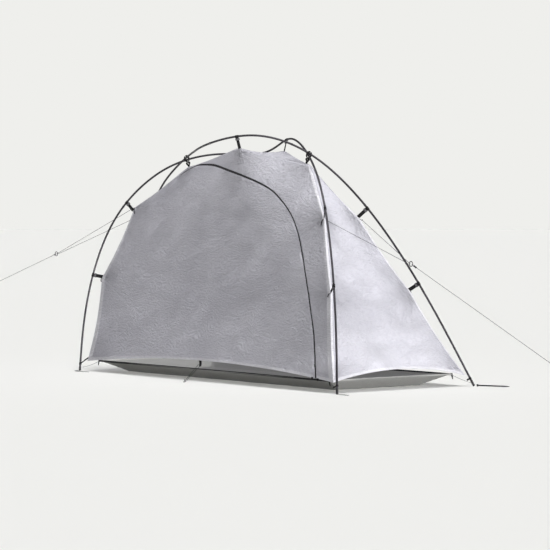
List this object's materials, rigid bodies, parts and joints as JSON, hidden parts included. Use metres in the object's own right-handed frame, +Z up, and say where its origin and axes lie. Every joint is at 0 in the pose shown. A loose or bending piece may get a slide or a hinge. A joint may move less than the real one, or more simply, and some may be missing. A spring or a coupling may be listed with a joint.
{
  "type": "two-pole tent",
  "caption": "Small freestanding tent: fabric walls hung by webbing straps inside external bowed poles, with a zipped side door and guy lines at both ends.",
  "frame": {"origin": "on the ground under the middle of the floor, at the centre of the rectangle of the four pole feet", "axes": "+X along the tent towards its pointed right end, -Y the side with the door, +Z up"},
  "size_m": [4.9479, 1.0814, 1.2945],
  "materials": {
    "fly": "crinkled translucent laminate",
    "tub": "coated grey",
    "pole": "black anodised satin",
    "tip": "moulded",
    "elastic": "braided",
    "webbing": "woven tape",
    "cord": "braided",
    "plastic": "moulded",
    "stake": "black anodised"
  },
  "bodies": {
    "tent": {"floor_tub": "tub", "foot_tail_left": "webbing", "foot_tail_right": "webbing", "front_fixed_panel": "fly", "front_hinge_strip": "fly", "front_stakeout_cord": "cord", "left_bridle_cord": "cord", "left_end_wall": "fly", "left_guy_line": "cord", "left_guy_ring": "plastic", "pole_a_section_1": "pole", "pole_a_section_2": "pole", "pole_a_section_3": "pole", "pole_a_section_4": "pole", "pole_a_section_5": "pole", "pole_a_section_6": "pole", "pole_a_section_7": "pole", "pole_a_section_8": "pole", "pole_a_shock_cord": "elastic", "pole_a_tip_left": "tip", "pole_a_tip_right": "tip", "pole_b_section_1": "pole", "pole_b_section_2": "pole", "pole_b_section_3": "pole", "pole_b_section_4": "pole", "pole_b_section_5": "pole", "pole_b_section_6": "pole", "pole_b_section_7": "pole", "pole_b_section_8": "pole", "pole_b_shock_cord": "elastic", "pole_b_tip_left": "tip", "pole_b_tip_right": "tip", "rear_wall": "fly", "right_bridle_cord": "cord", "right_end_wall": "fly", "right_guy_line": "cord", "right_guy_ring": "plastic", "roof_panel": "fly", "strap_apex_left": "webbing", "strap_apex_right": "webbing", "strap_corner_front_left": "webbing", "strap_corner_front_right": "webbing", "strap_corner_rear_left": "webbing", "strap_corner_rear_right": "webbing", "strap_crown_front": "webbing", "strap_crown_rear": "webbing", "strap_lower_front_left": "webbing", "strap_lower_front_right": "webbing", "strap_lower_rear_left": "webbing", "strap_lower_rear_right": "webbing", "strap_upper_front_left": "webbing", "strap_upper_front_right": "webbing", "strap_upper_rear_left": "webbing", "strap_upper_rear_right": "webbing"},
    "door": {"door_panel": "fly"},
    "zip_slider": {"zip_slider": "plastic"},
    "zip_pull": {"zip_pull": "plastic"},
    "stake_right": {"stake_rear_right": "stake"},
    "stake_left": {"stake_rear_left": "stake"},
    "line_lock": {"right_line_lock": "plastic"}
  },
  "joints": [
    {"name": "door_hinge", "type": "hinge", "parent": "tent", "child": "door", "pos_m": [-0.9396, -0.4335, 0.0684], "axis": [-0.1093, -0.3705, -0.9224], "range_deg": [0, 70]},
    {"name": "zip_slide", "type": "slide", "parent": "tent", "child": "zip_slider", "axis": [-0.5277, 0.3285, 0.7834], "range_m": [0, 0.25]},
    {"name": "pull_swing", "type": "hinge", "parent": "zip_slider", "child": "zip_pull", "pos_m": [0.916, -0.4245, 0.1328], "axis": [-1, 0, 0], "range_deg": [0, 90]},
    {"name": "stake_right_draw", "type": "slide", "parent": "tent", "child": "stake_right", "axis": [0.922, 0.3872, 0], "range_m": [0, 0.1]},
    {"name": "stake_left_draw", "type": "slide", "parent": "tent", "child": "stake_left", "axis": [-0.922, 0.3872, 0], "range_m": [0, 0.1]},
    {"name": "line_lock_slide", "type": "slide", "parent": "tent", "child": "line_lock", "axis": [0.9137, 0, -0.4063], "range_m": [0, 0.3]}
  ]
}
